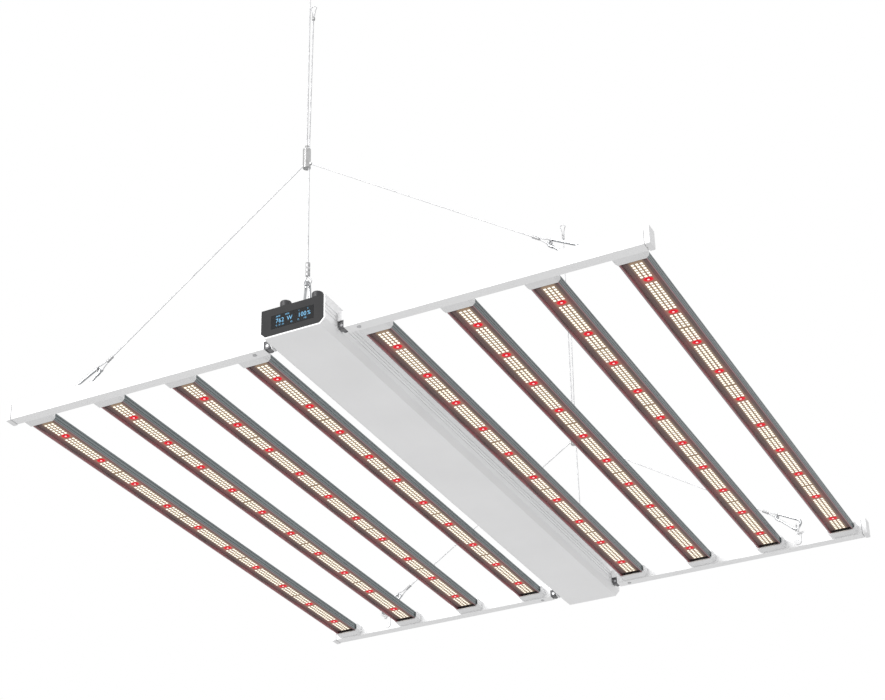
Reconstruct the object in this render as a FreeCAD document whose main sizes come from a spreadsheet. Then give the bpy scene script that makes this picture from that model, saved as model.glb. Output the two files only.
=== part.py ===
import FreeCAD, Part
import math
import os
import re

import Sketcher
from FreeCAD import Placement, Rotation, Vector

# Suspended eight-bar LED grow light: a long driver housing, two folding wings of four LED bars,
# and two wire hangers. X runs across the bars, Y along them, +Z up. The origin is midway between
# the two ceiling eyes. Shapes are drawn from the plane of the LED faces, z = 0, and each sub-part
# is then lowered by lamp_drop, the height of the ceiling eyes above that plane.

os.makedirs("parts", exist_ok=True)
doc = FreeCAD.newDocument("led_grow_light")

SIZES = [
    ("lamp_drop", 770, "ceiling eyes down to the LED faces"),
    ("housing_length", 1080, "driver housing extrusion, along Y"),
    ("housing_front", 545, "front of the housing before the middle, along Y"),
    ("housing_width", 104, "driver housing, across X"),
    ("housing_top", 33, "top face above the LED faces"),
    ("housing_bottom", 13, "bottom face below the LED faces"),
    ("housing_wall", 2, "extrusion wall"),
    ("housing_bevel", 8, "bevel along the two lower edges"),
    ("groove_width", 1.2, "groove in the housing side"),
    ("groove_depth", 0.9, "groove in the housing side"),
    ("groove_first", 5, "lowest groove above the LED faces"),
    ("groove_pitch", 6, "groove to groove"),
    ("end_plate", 3, "rear end plate thickness"),
    ("panel_thickness", 4, "front panel thickness"),
    ("panel_recess", 0.4, "front panel behind the front of the housing"),
    ("window_width", 68, "display window, across X"),
    ("window_height", 21.5, "display window, up Z"),
    ("window_low", -0.5, "lower edge of the window above the LED faces"),
    ("window_glass", 1.3, "display window thickness"),
    ("fit_gap", 0.2, "clearance round pieces that are put together"),
    ("board_thickness", 1.6, "circuit boards"),
    ("knob_radius", 8.2, "control knob"),
    ("knob_height", 13, "control knob above the housing"),
    ("knob_left", -18.5, "left knob, along X"),
    ("knob_right", 32.5, "right knob, along X"),
    ("knob_back", 13.5, "knob axis behind the front of the housing"),
    ("knob_lift", 0.6, "gap under a knob"),
    ("shaft_radius", 3, "encoder shaft"),
    ("shaft_running", 0.05, "radial clearance of a shaft or pin that turns"),
    ("driver_length", 330, "one LED driver"),
    ("driver_width", 84, "one LED driver"),
    ("driver_height", 28, "one LED driver"),
    ("driver_gap", 90, "between the two LED drivers"),
    ("gland_radius", 10, "power gland"),
    ("gland_length", 16, "power gland outside the end plate"),
    ("gland_bore", 4.2, "radius of the power gland's bore"),
    ("gland_z", 10, "power gland above the LED faces"),
    ("arm_span", 1028, "outer faces of the two arms, along Y"),
    ("arm_depth", 18, "arm tube, along Y"),
    ("arm_top", 18, "arm top above the LED faces"),
    ("arm_bottom", 8, "arm bottom below the LED faces"),
    ("arm_wall", 1.5, "arm tube wall"),
    ("arm_end", 503, "outer end of the arm tube, along X"),
    ("cap_thickness", 8, "arm end cap"),
    ("cap_lip", 1.2, "end cap beyond the tube all round"),
    ("cap_neck", 1.2, "shadow gap between the cap and the tube"),
    ("cap_plug", 14, "end cap plug inside the tube"),
    ("pivot_gap", 1, "gap between the fold knuckle and the hinge leaf"),
    ("pivot_low", 2.5, "fold pivot below the LED faces"),
    ("knuckle_radius", 5, "fold hinge knuckle"),
    ("knuckle_width", 7, "middle knuckle, along Y"),
    ("ear_width", 3.4, "each arm knuckle, along Y"),
    ("pin_radius", 2, "fold hinge pin"),
    ("leaf_thickness", 1.5, "hinge leaf on the housing side"),
    ("leaf_width", 20, "hinge leaf, along Y"),
    ("leaf_top", 19, "hinge leaf top above the LED faces"),
    ("leaf_bottom", 8, "hinge leaf bottom below the LED faces"),
    ("leaf_corner", 5, "corner cut of the hinge leaf"),
    ("notch_gap", 1.5, "gap above the knuckle in the arm's hinge notch"),
    ("hinge_plug", 32, "hinge end inside the arm tube"),
    ("lock_screw_in", 24, "lock screw from the fold pivot, along X"),
    ("screw_radius", 1.5, "screw shank"),
    ("screw_head_radius", 3, "screw head"),
    ("screw_head", 0.8, "screw head height"),
    ("bar_first", 98, "first bar from the middle, along X"),
    ("bar_pitch", 125, "bar to bar, along X"),
    ("bar_width", 42, "bar channel"),
    ("bar_lip", 3.8, "bar lips below the LED faces"),
    ("bar_top", 8.5, "bar top above the LED faces"),
    ("bar_wall", 2.6, "bar side wall"),
    ("bar_edge", 1, "bevel along the bar's lower edges"),
    ("bar_groove", 0.6, "depth of the grooves in the bar's sides"),
    ("bar_groove_low", -0.5, "lower groove above the LED faces"),
    ("bar_groove_high", 4.6, "upper groove above the LED faces"),
    ("bar_groove_width", 1, "grooves in the bar's sides"),
    ("bar_web", 2, "bar web above the LED board"),
    ("fin_width", 1.6, "cooling fin"),
    ("led_height", 0.7, "LED package"),
    ("board_length", 188.8, "one LED board, along Y"),
    ("board_width", 35, "one LED board, across X"),
    ("board_joint", 0.4, "gap between LED boards"),
    ("board_shift", 7.5, "middle of a bar's LED boards, along Y"),
    ("bracket_length", 18.5, "bar end bracket, along Y"),
    ("bracket_side", 3, "bracket beyond the bar on each side"),
    ("bracket_sheet", 1.6, "bracket sheet"),
    ("bracket_web", 2, "bracket plate on the arm"),
    ("bracket_bevel", 4, "bevel of the bracket's lower corners"),
    ("bracket_drop", 2.4, "bracket below the bar lips"),
    ("bracket_rise", 9, "bracket cheeks above the LED faces"),
    ("tab_out", 394, "hanger tab from the middle, along X"),
    ("tab_width", 13, "hanger tab"),
    ("tab_sheet", 2, "hanger tab"),
    ("tab_foot", 5, "hanger tab below the LED faces"),
    ("ring_radius", 6.5, "middle radius of an eye ring"),
    ("ring_wire", 1.8, "wire radius of an eye ring"),
    ("ring_centre", 23, "tab ring centre above the LED faces"),
    ("ring_turn", 35, "tab ring turned about Z, in degrees"),
    ("ring_inboard", 7, "tab ring inside the arm face"),
    ("ring_shift", 3, "tab ring outboard of the tab's middle"),
    ("eye_rise", 10, "housing eye ring centre above the housing"),
    ("hanger_out", 503, "hanger plane from the middle, along Y"),
    ("hook_wire", 2.3, "wire radius of a carabiner"),
    ("hook_length", 46, "carabiner middle line, along its length"),
    ("hook_wide", 19, "carabiner middle line, wide end"),
    ("hook_narrow", 9, "carabiner middle line, narrow end"),
    ("hook_play", 1, "clearance of a carabiner on its ring"),
    ("gate_wire", 1.9, "radius of a carabiner gate"),
    ("rope_radius", 1, "wire rope"),
    ("leg_loop_play", 1.3, "clearance of a leg's eye loop round its carabiner"),
    ("leg_loop_turn", 35, "leg eye loop turned about the leg, in degrees"),
    ("leg_loop_length", 16, "loop centre to the ferrule on a leg"),
    ("centre_loop", 6, "middle radius of a centre leg's eye loop"),
    ("centre_loop_length", 9, "loop centre to the ferrule on a centre leg"),
    ("ceiling_loop", 5, "middle radius of a ceiling eye"),
    ("ceiling_loop_length", 18, "loop centre to the ferrule at the ceiling"),
    ("tail_loop", 4.5, "middle radius of a tail loop"),
    ("tail_loop_length", 17, "loop centre to the ferrule on a tail"),
    ("tail_loop_height", 583, "tail loop centre above the LED faces"),
    ("tail_lean", 5, "tail loop beside the foot of the tail, along X"),
    ("ferrule_radius", 2.5, "crimped ferrule"),
    ("ferrule_length", 12, "crimped ferrule on a leg or main strand"),
    ("tail_ferrule_length", 6, "crimped ferrule on a tail"),
    ("centre_ferrule_radius", 3.3, "crimped ferrule on a centre leg"),
    ("centre_ferrule_length", 23, "crimped ferrule on a centre leg"),
    ("gripper_radius", 6, "rope gripper barrel"),
    ("gripper_bottom", 287, "gripper bottom above the LED faces"),
    ("gripper_length", 34, "gripper barrel"),
    ("gripper_x", -4, "gripper axis from the middle, along X"),
    ("strand_gap", 4, "main strand to centre leg and tail strand, along X"),
    ("socket_height", 11, "leg sockets above the gripper bottom"),
    ("socket_reach", 9, "leg socket face from the gripper axis"),
    ("socket_radius", 2.2, "leg socket"),
    ("leg_release", 0.4, "gap between a leg and its gripper socket"),
    ("plunger_radius", 2.4, "release plunger"),
    ("plunger_up", 6, "release plunger above the barrel"),
    ("plunger_travel", 3, "release plunger stroke"),
]

sheet = doc.addObject("Spreadsheet::Sheet", "Size")
for row, (alias, value, meaning) in enumerate(SIZES, 1):
    sheet.set(f"A{row}", meaning)
    sheet.set(f"B{row}", str(value))
    sheet.setAlias(f"B{row}", alias)
doc.recompute()
NAMES = {alias for alias, value, meaning in SIZES}


def formula(text):
    """The text as an expression on the sheet's cells."""
    return re.sub(r"[a-z_]+", lambda word: f"Size.{word[0]}" if word[0] in NAMES else word[0], str(text))


def value_of(text):
    """The same formula worked out now, in a spare cell of the sheet."""
    sheet.set("D1", f"={text}")
    sheet.recompute()
    return float(sheet.get("D1"))


def bind(item, **expressions):
    for name, text in expressions.items():
        item.setExpression(name, formula(text))
    return item


def place(item, x=0, y=0, z=0):
    item.setExpression("Placement.Base.x", formula(x))
    item.setExpression("Placement.Base.y", formula(y))
    item.setExpression("Placement.Base.z", formula(z))
    return item


def box(name, x, y, z):
    """A block between the (low, high) formulas on each axis."""
    item = doc.addObject("Part::Box", name)
    bind(item, Length=f"({x[1]}) - ({x[0]})", Width=f"({y[1]}) - ({y[0]})", Height=f"({z[1]}) - ({z[0]})")
    return place(item, x[0], y[0], z[0])


ALONG = {
    "X": Rotation(Vector(0, 1, 0), 90),
    "Y": Rotation(Vector(1, 0, 0), -90),
    "Z": Rotation(),
}


def rod(name, axis, radius, length, x=0, y=0, z=0):
    """A cylinder that starts at (x, y, z) and runs along a positive axis."""
    item = doc.addObject("Part::Cylinder", name)
    bind(item, Radius=radius, Height=length)
    item.Placement = Placement(Vector(), ALONG[axis])
    return place(item, x, y, z)


def fuse(name, items):
    item = doc.addObject("Part::MultiFuse", name)
    item.Shapes = items
    return item


def cut(name, base, tools):
    item = doc.addObject("Part::Cut", name)
    item.Base = base
    item.Tool = tools[0] if len(tools) == 1 else fuse(f"{name}_tools", tools)
    return item


def group(name, items):
    item = doc.addObject("Part::Compound", name)
    item.Links = items
    return item


sub_parts = []


def sub_part(label, item):
    """Name a finished piece and lower it from the LED plane into the frame."""
    item.Label = label
    item.setExpression("Placement.Base.z", formula("-lamp_drop"))
    sub_parts.append(item)
    return item


def shaped(label, solids):
    """A piece bent or turned by Part's own functions: its sizes are read from the sheet."""
    item = doc.addObject("Part::Feature", label)
    item.Shape = Part.makeCompound(solids)
    item.Placement = Placement(Vector(0, 0, 0), Rotation())
    return sub_part(label, item)


def outline(body, name, role, corners):
    """A closed polygon sketched on one of the body's origin planes, each corner held by two formulas."""
    sketch = body.newObject("Sketcher::SketchObject", name)
    plane = next(item for item in body.Origin.OriginFeatures if item.Role == role)
    sketch.AttachmentSupport = (plane, "")
    sketch.MapMode = "FlatFace"
    places = [Vector(value_of(across), value_of(up), 0) for across, up in corners]
    for number, start in enumerate(places):
        sketch.addGeometry(Part.LineSegment(start, places[(number + 1) % len(places)]), False)
    for number in range(len(places)):
        after = (number + 1) % len(places)
        sketch.addConstraint(Sketcher.Constraint("Coincident", number, 2, after, 1))
    for number, (across, up) in enumerate(corners):
        for kind, text, now in (("DistanceX", across, places[number].x), ("DistanceY", up, places[number].y)):
            index = sketch.addConstraint(Sketcher.Constraint(kind, -1, 1, number, 1, now))
            sketch.setExpression(f"Constraints[{index}]", formula(text))
    return sketch


def pad(body, name, sketch, length, midplane=True, reverse=False):
    feature = body.newObject("PartDesign::Pad", name)
    feature.Profile = sketch
    feature.Midplane = midplane
    feature.Reversed = reverse
    bind(feature, Length=length)
    return feature


def pocket(body, name, sketch, length, midplane=True, reverse=False):
    """A pocket that must take material away."""
    doc.recompute()
    before = body.Shape.Volume
    feature = body.newObject("PartDesign::Pocket", name)
    feature.Profile = sketch
    feature.Midplane = midplane
    feature.Reversed = reverse
    bind(feature, Length=length)
    doc.recompute()
    if body.Shape.Volume > before - 1:
        raise ValueError(f"{name} cuts nothing")
    return feature


def mirrored(corners):
    """The corners of the +X half, followed by their mirror images in reverse order."""
    return corners + [(f"-({across})", up) for across, up in reversed(corners)]


# Driver housing: an extruded box with bevelled lower edges and three grooves in each side.
def housing_outline(inset, top_inset=None):
    """The outline, moved in by the inset, at the top by its own; a bevel's ends move in by less."""
    side = f"housing_width / 2 - ({inset})"
    low = f"-housing_bottom + ({inset})"
    bevel = f"housing_bevel - 0.586 * ({inset})"
    return mirrored([
        (side, f"housing_top - ({inset if top_inset is None else top_inset})"),
        (side, f"{low} + {bevel}"),
        (f"{side} - ({bevel})", low),
    ])


housing = doc.addObject("PartDesign::Body", "housing_body")
pad(housing, "housing_extrusion", outline(housing, "housing_outside", "XZ_Plane", housing_outline(0)), "housing_length")
place(housing, 0, "housing_length / 2 - housing_front", 0)
inside = outline(housing, "housing_inside", "XZ_Plane", housing_outline("housing_wall"))
pocket(housing, "housing_hollow", inside, "housing_length + 2")
for side in (-1, 1):
    for number in range(3):
        level = f"groove_first + {number} * groove_pitch"
        face = f"{side} * housing_width / 2"
        floor = f"{side} * (housing_width / 2 - groove_depth)"
        corners = [(face, level), (face, f"{level} + groove_width"), (floor, f"{level} + groove_width"), (floor, level)]
        name = f"groove_{'left' if side < 0 else 'right'}_{number}"
        pocket(housing, name, outline(housing, f"{name}_section", "XZ_Plane", corners), "housing_length + 2")
knob_y = "-housing_front + knob_back"
shaft_holes = [
    rod(f"shaft_hole_{place_x}", "Z", "shaft_radius + 2 * fit_gap", "housing_wall + 2", place_x, knob_y,
        "housing_top - housing_wall - 1")
    for place_x in ("knob_left", "knob_right")
]
panel_seat = box("panel_seat", ("-(housing_width / 2 - housing_wall)", "housing_width / 2 - housing_wall"),
                 ("-housing_front - 1", "-housing_front + panel_recess + panel_thickness + fit_gap"),
                 ("housing_top - housing_wall - 1", "housing_top + 1"))
sub_part("driver_housing", cut("housing_with_holes", housing, shaft_holes + [panel_seat]))

# Rear end plate with the power gland's hole, and the gland itself.
rear = doc.addObject("PartDesign::Body", "rear_plate_body")
pad(rear, "rear_plate_sheet", outline(rear, "rear_plate_outline", "XZ_Plane", housing_outline(0)), "end_plate")
housing_rear = "housing_length - housing_front"
place(rear, 0, f"{housing_rear} + end_plate / 2", 0)
gland_hole = rod("gland_hole", "Y", "gland_bore + 2", "end_plate + 2", 0, f"{housing_rear} - 1", "gland_z")
sub_part("rear_end_plate", cut("rear_plate_drilled", rear, [gland_hole]))
rear_face = f"{housing_rear} + end_plate"
gland_body = fuse("gland_body", [
    rod("gland_flange", "Y", "gland_radius", "gland_length / 3", 0, rear_face, "gland_z"),
    rod("gland_nose", "Y", "gland_radius * 0.8", "gland_length", 0, rear_face, "gland_z"),
    rod("gland_thread", "Y", "gland_bore + 2 - fit_gap", "end_plate", 0, housing_rear, "gland_z"),
])
gland_bore = rod("gland_bore_tool", "Y", "gland_bore", "gland_length + end_plate + 2", 0, f"{housing_rear} - 1",
                 "gland_z")
sub_part("power_gland", cut("power_gland", gland_body, [gland_bore]))

# Front panel: a dark plate in the housing's mouth, flush with its top, with the display window let into it, and the boards
# behind it.
front = doc.addObject("PartDesign::Body", "front_panel_body")
panel_outline = housing_outline("housing_wall + fit_gap", "0")
pad(front, "front_panel_plate", outline(front, "front_panel_outline", "XZ_Plane", panel_outline), "panel_thickness")
front_face = "-housing_front + panel_recess"
place(front, 0, f"{front_face} + panel_thickness / 2", 0)
window_top = "window_low + window_height"
recess = box("window_recess", ("-window_width / 2", "window_width / 2"),
             (f"{front_face} - 1", f"{front_face} + window_glass + fit_gap"), ("window_low", window_top))
sub_part("front_panel", cut("front_panel_cut", front, [recess]))
sub_part("display_window", group("display_window", [
    box("window_pane", ("-window_width / 2 + fit_gap", "window_width / 2 - fit_gap"),
        (front_face, f"{front_face} + window_glass"), ("window_low + fit_gap", f"{window_top} - fit_gap")),
]))
board_front = f"{front_face} + panel_thickness + 0.8"
sub_part("control_board", group("control_board", [
    box("control_board_sheet", ("-housing_width / 2 + 6", "housing_width / 2 - 6"),
        (board_front, f"{board_front} + board_thickness"),
        ("-housing_bottom + housing_wall + 3", "housing_top - housing_wall - 5")),
]))
encoders = []
for place_x in ("knob_left", "knob_right"):
    ceiling = "housing_top - housing_wall - fit_gap"
    encoders.append(fuse(f"encoder_{place_x}", [
        box(f"encoder_case_{place_x}", (f"{place_x} - 6", f"{place_x} + 6"), (f"{knob_y} - 6", f"{knob_y} + 6"),
            (f"{ceiling} - 6.5", ceiling)),
        rod(f"encoder_shaft_{place_x}", "Z", "shaft_radius",
            "housing_wall + fit_gap + knob_lift + knob_height * 0.7", place_x, knob_y, ceiling),
    ]))
sub_part("knob_encoders", group("knob_encoders", encoders))
floor_level = "-housing_bottom + housing_wall + fit_gap"
drivers = []
for side in (-1, 1):
    near_end = "driver_gap / 2" if side > 0 else "-driver_gap / 2 - driver_length"
    drivers.append(box(f"led_driver_{'front' if side < 0 else 'rear'}", ("-driver_width / 2", "driver_width / 2"),
                       (near_end, f"{near_end} + driver_length"), (floor_level, f"{floor_level} + driver_height")))
sub_part("led_drivers", group("led_drivers", drivers))

# Control knobs, turned with a rounded top edge and a blind bore for the encoder shaft.
for label, place_x in (("left_knob", "knob_left"), ("right_knob", "knob_right")):
    knob = doc.addObject("PartDesign::Body", f"{label}_body")
    half = [
        ("shaft_radius + shaft_running", "0"),
        ("knob_radius - 0.6", "0"),
        ("knob_radius - 0.6", "knob_height * 0.2"),
        ("knob_radius", "knob_height * 0.3"),
        ("knob_radius", "knob_height - 1.6"),
        ("knob_radius - 0.5", "knob_height - 0.5"),
        ("knob_radius - 1.7", "knob_height"),
        ("0", "knob_height"),
        ("0", "knob_height * 0.75"),
        ("shaft_radius + shaft_running", "knob_height * 0.75"),
    ]
    turned = knob.newObject("PartDesign::Revolution", f"{label}_turned")
    turned.Profile = outline(knob, f"{label}_half", "XZ_Plane", half)
    turned.ReferenceAxis = (next(item for item in knob.Origin.OriginFeatures if item.Role == "Z_Axis"), [""])
    turned.Angle = 360
    place(knob, place_x, knob_y, "housing_top + knob_lift")
    sub_part(label, group(label, [knob]))

# Fold hinges: each arm ends in a plug with two ears, which turn on a pin in the housing's knuckle.
pivot_x = "housing_width / 2 + leaf_thickness + knuckle_radius + pivot_gap"
leaf_face = "housing_width / 2 + leaf_thickness"
arm_middle = "arm_span / 2 - arm_depth / 2"
arm_inner = "arm_span / 2 - arm_depth"
plates = []
pins = []
for side, hand in ((-1, "left"), (1, "right")):
    for depth, end in ((-1, "near"), (1, "far")):
        tag = f"{hand}_{end}"
        leaf = doc.addObject("PartDesign::Body", f"leaf_{tag}")
        half = [
            ("leaf_width / 2", "leaf_top - leaf_corner"),
            ("leaf_width / 2", "-leaf_bottom + leaf_corner"),
            ("leaf_width / 2 - leaf_corner", "-leaf_bottom"),
        ]
        top = [("leaf_width / 2 - leaf_corner", "leaf_top")]
        corners = top + half
        corners = corners + [(f"-({across})", up) for across, up in reversed(corners)]
        pad(leaf, f"leaf_sheet_{tag}", outline(leaf, f"leaf_outline_{tag}", "YZ_Plane", corners), "leaf_thickness")
        place(leaf, f"{side} * (housing_width / 2 + leaf_thickness / 2)", f"{depth} * ({arm_middle})", 0)
        middle_y = f"{depth} * ({arm_middle})"
        knuckle = rod(f"knuckle_{tag}", "Y", "knuckle_radius", "knuckle_width", f"{side} * ({pivot_x})",
                      f"{middle_y} - knuckle_width / 2", "-pivot_low")
        inner = f"{side} * ({leaf_face})"
        outer = f"{side} * ({pivot_x})"
        neck_x = (inner, outer) if side > 0 else (outer, inner)
        neck = box(f"knuckle_neck_{tag}", neck_x,
                   (f"{middle_y} - knuckle_width / 2", f"{middle_y} + knuckle_width / 2"),
                   ("-pivot_low - knuckle_radius * 0.9", "-pivot_low + knuckle_radius * 0.9"))
        pin_hole = rod(f"pin_hole_{tag}", "Y", "pin_radius + 0.02", "knuckle_width + 2", f"{side} * ({pivot_x})",
                       f"{middle_y} - knuckle_width / 2 - 1", "-pivot_low")
        plates.append(cut(f"hinge_bracket_{tag}", fuse(f"hinge_bracket_solid_{tag}", [leaf, neck, knuckle]), [pin_hole]))
        pins.append(rod(f"pin_{tag}", "Y", "pin_radius", "arm_depth - 2 * arm_wall - 1", f"{side} * ({pivot_x})",
                        f"{middle_y} - (arm_depth - 2 * arm_wall - 1) / 2", "-pivot_low"))
sub_part("housing_hinge_brackets", group("housing_hinge_brackets", plates))
sub_part("hinge_pins", group("hinge_pins", pins))


def span(side, low, high):
    """The (low, high) formulas along X on the chosen side."""
    return (low, high) if side > 0 else (f"-({high})", f"-({low})")


def wing(side, hand):
    """One folding wing: two arms with their ends, four LED bars, and the hanger tabs."""
    arms, caps, hinge_ends, screws, tabs, brackets, bars, boards = [], [], [], [], [], [], [], []
    notch_out = f"{pivot_x} + knuckle_radius * 0.9"
    for depth, end in ((-1, "near"), (1, "far")):
        tag = f"{hand}_{end}"
        middle_y = f"{depth} * ({arm_middle})"
        across = (f"{middle_y} - arm_depth / 2", f"{middle_y} + arm_depth / 2")
        bore = (f"{middle_y} - arm_depth / 2 + arm_wall", f"{middle_y} + arm_depth / 2 - arm_wall")
        tube = box(f"tube_{tag}", span(side, f"{leaf_face} + 3 * fit_gap", "arm_end"), across, ("-arm_bottom", "arm_top"))
        hollow = box(f"tube_hollow_{tag}", span(side, f"{leaf_face} - 1", "arm_end + 1"), bore,
                     ("-arm_bottom + arm_wall", "arm_top - arm_wall"))
        notch = box(f"notch_{tag}", span(side, f"{leaf_face} - 1", notch_out),
                    (f"{middle_y} - arm_depth", f"{middle_y} + arm_depth"), ("-arm_bottom - 1", "-pivot_low + knuckle_radius + notch_gap"))
        lock_x = f"{side} * ({pivot_x} + lock_screw_in)"
        lock_hole = rod(f"lock_hole_{tag}", "Z", "screw_radius + fit_gap", "arm_wall + 2", lock_x, middle_y,
                        "-arm_bottom - 1")
        inner_y = f"{depth} * ({arm_inner})"
        tab_hole_start = f"{inner_y} - 1" if depth > 0 else f"{inner_y} - arm_wall - 1"
        tab_hole = rod(f"tab_hole_{tag}", "Y", "screw_radius + fit_gap", "arm_wall + 2", f"{side} * tab_out",
                       tab_hole_start, "arm_top / 2 - 4")
        arms.append(cut(f"arm_{tag}", tube, [hollow, notch, lock_hole, tab_hole]))

        # End cap: a plate with a bevelled lower edge, a neck that leaves a shadow gap, and a plug.
        plate = box(f"cap_plate_{tag}", span(side, "arm_end + cap_neck", "arm_end + cap_neck + cap_thickness"),
                    (f"{across[0]} - cap_lip", f"{across[1]} + cap_lip"), ("-arm_bottom - cap_lip", "arm_top + cap_lip"))
        rounded = doc.addObject("Part::Fillet", f"cap_rounded_{tag}")
        rounded.Base = plate
        rounded.Edges = [(number, 1.2, 1.2) for number in range(1, 13)]
        neck = box(f"cap_neck_{tag}", span(side, "arm_end - cap_plug", "arm_end + cap_neck + 2"),
                   (f"{bore[0]} + fit_gap", f"{bore[1]} - fit_gap"),
                   ("-arm_bottom + arm_wall + fit_gap", "arm_top - arm_wall - fit_gap"))
        caps.append(fuse(f"arm_cap_{tag}", [rounded, neck]))

        # Hinge end: a plug in the tube, a nose over the notch, and two ears on the pin.
        plug_z = ("-arm_bottom + arm_wall + fit_gap", "arm_top - arm_wall - fit_gap")
        plug_y = (f"{bore[0]} + fit_gap", f"{bore[1]} - fit_gap")
        plug_x = f"{pivot_x} + knuckle_radius + 3 * fit_gap"
        plug = box(f"hinge_plug_{tag}", span(side, plug_x, f"{plug_x} + hinge_plug"), plug_y, plug_z)
        nose = box(f"hinge_nose_{tag}", span(side, f"{leaf_face} + 3 * fit_gap", plug_x), plug_y,
                   ("-pivot_low + knuckle_radius + 3 * fit_gap", plug_z[1]))
        ears = []
        for flank in (-1, 1):
            ear_low = f"{middle_y} + knuckle_width / 2 + fit_gap" if flank > 0 else \
                f"{middle_y} - knuckle_width / 2 - fit_gap - ear_width"
            ears.append(rod(f"ear_{tag}_{flank + 1}", "Y", "knuckle_radius", "ear_width", f"{side} * ({pivot_x})",
                            ear_low, "-pivot_low"))
            ears.append(box(f"ear_link_{tag}_{flank + 1}", span(side, pivot_x, plug_x),
                            (ear_low, f"{ear_low} + ear_width"),
                            ("-pivot_low - knuckle_radius * 0.8", "-pivot_low + knuckle_radius + 3 * fit_gap")))
        ear_hole = rod(f"ear_hole_{tag}", "Y", "pin_radius + shaft_running", "arm_depth", f"{side} * ({pivot_x})",
                       f"{middle_y} - arm_depth / 2", "-pivot_low")
        lock_thread = rod(f"lock_thread_{tag}", "Z", "screw_radius + 0.02", "12", lock_x, middle_y, "-arm_bottom")
        solid = fuse(f"hinge_end_solid_{tag}", [plug, nose] + ears)
        hinge_ends.append(cut(f"hinge_end_{tag}", solid, [ear_hole, lock_thread]))

        # Lock screw under the arm, and the screw that holds the hanger tab.
        screws.append(fuse(f"lock_screw_{tag}", [
            rod(f"lock_head_{tag}", "Z", "screw_head_radius", "screw_head", lock_x, middle_y,
                "-arm_bottom - screw_head"),
            rod(f"lock_shank_{tag}", "Z", "screw_radius", "10", lock_x, middle_y, "-arm_bottom"),
        ]))
        tab_face = f"{depth} * ({arm_inner} - tab_sheet)"
        head_start = f"{tab_face} - screw_head" if depth > 0 else tab_face
        shank_start = f"{tab_face} - screw_head" if depth > 0 else f"{tab_face} - tab_sheet - arm_wall - 2"
        screws.append(fuse(f"tab_screw_{tag}", [
            rod(f"tab_head_{tag}", "Y", "screw_head_radius", "screw_head", f"{side} * tab_out", head_start,
                "arm_top / 2 - 4"),
            rod(f"tab_shank_{tag}", "Y", "screw_radius", "tab_sheet + arm_wall + 2 + screw_head", f"{side} * tab_out",
                shank_start, "arm_top / 2 - 4"),
        ]))

        # Hanger tab: a rounded plate on the arm's inner face that carries an eye ring.
        sheet_y = (tab_face, inner_y) if depth > 0 else (inner_y, tab_face)
        blade = box(f"tab_blade_{tag}", span(side, "tab_out - tab_width / 2", "tab_out + tab_width / 2"), sheet_y,
                    ("-tab_foot + tab_width / 2", "arm_top - 2"))
        foot = rod(f"tab_foot_{tag}", "Y", "tab_width / 2", "tab_sheet", f"{side} * tab_out", sheet_y[0],
                   "-tab_foot + tab_width / 2")
        ring_y = f"{depth} * ({arm_inner} - ring_inboard)"
        stem_y = (ring_y, tab_face) if depth > 0 else (tab_face, ring_y)
        ring_x = "tab_out + ring_shift"
        stem = box(f"tab_stem_{tag}", span(side, f"{ring_x} - 2.4", f"{ring_x} + 2.4"), stem_y,
                   ("ring_centre - ring_radius - 3", "ring_centre - ring_radius + 0.4"))
        ring = doc.addObject("Part::Torus", f"tab_ring_{tag}")
        bind(ring, Radius1="ring_radius", Radius2="ring_wire")
        ring.Placement = Placement(Vector(), ALONG["X"])
        ring.setExpression("Placement.Rotation.Yaw", formula(f"{side * depth} * ring_turn"))
        ring.setExpression("Placement.Rotation.Pitch", "-90")
        place(ring, f"{side} * ({ring_x})", ring_y, "ring_centre")
        tab_screw_hole = rod(f"tab_screw_hole_{tag}", "Y", "screw_radius + fit_gap", "tab_sheet + 2",
                             f"{side} * tab_out", f"{sheet_y[0]} - 1", "arm_top / 2 - 4")
        tabs.append(cut(f"tab_{tag}", fuse(f"tab_solid_{tag}", [blade, foot, stem, ring]), [tab_screw_hole]))

    bar_length = f"2 * ({arm_inner}) - 2 * bracket_web - 2 * fit_gap"
    for number in range(4):
        bar_x = f"{side} * (bar_first + {number} * bar_pitch)"
        tag = f"{hand}_{number + 1}"
        bars.append(led_bar(tag, bar_x, bar_length))
        for place_y in range(5):
            low = f"({place_y} - 2.5) * board_length + board_joint / 2 + board_shift"
            boards.append(box(f"led_board_{tag}_{place_y + 1}",
                              (f"{bar_x} - board_width / 2", f"{bar_x} + board_width / 2"),
                              (low, f"{low} + board_length - board_joint"), ("led_height", "led_height + board_thickness")))
        for depth, end in ((-1, "near"), (1, "far")):
            brackets.append(end_bracket(f"{tag}_{end}", bar_x, depth))

    sub_part(f"{hand}_arms", group(f"{hand}_arms", arms))
    sub_part(f"{hand}_arm_end_caps", group(f"{hand}_arm_end_caps", caps))
    sub_part(f"{hand}_arm_hinge_ends", group(f"{hand}_arm_hinge_ends", hinge_ends))
    sub_part(f"{hand}_bar_channels", group(f"{hand}_bar_channels", bars))
    sub_part(f"{hand}_led_boards", group(f"{hand}_led_boards", boards))
    sub_part(f"{hand}_bar_end_brackets", group(f"{hand}_bar_end_brackets", brackets))
    sub_part(f"{hand}_hanger_tabs", group(f"{hand}_hanger_tabs", tabs))
    sub_part(f"{hand}_arm_screws", group(f"{hand}_arm_screws", screws))


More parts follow.
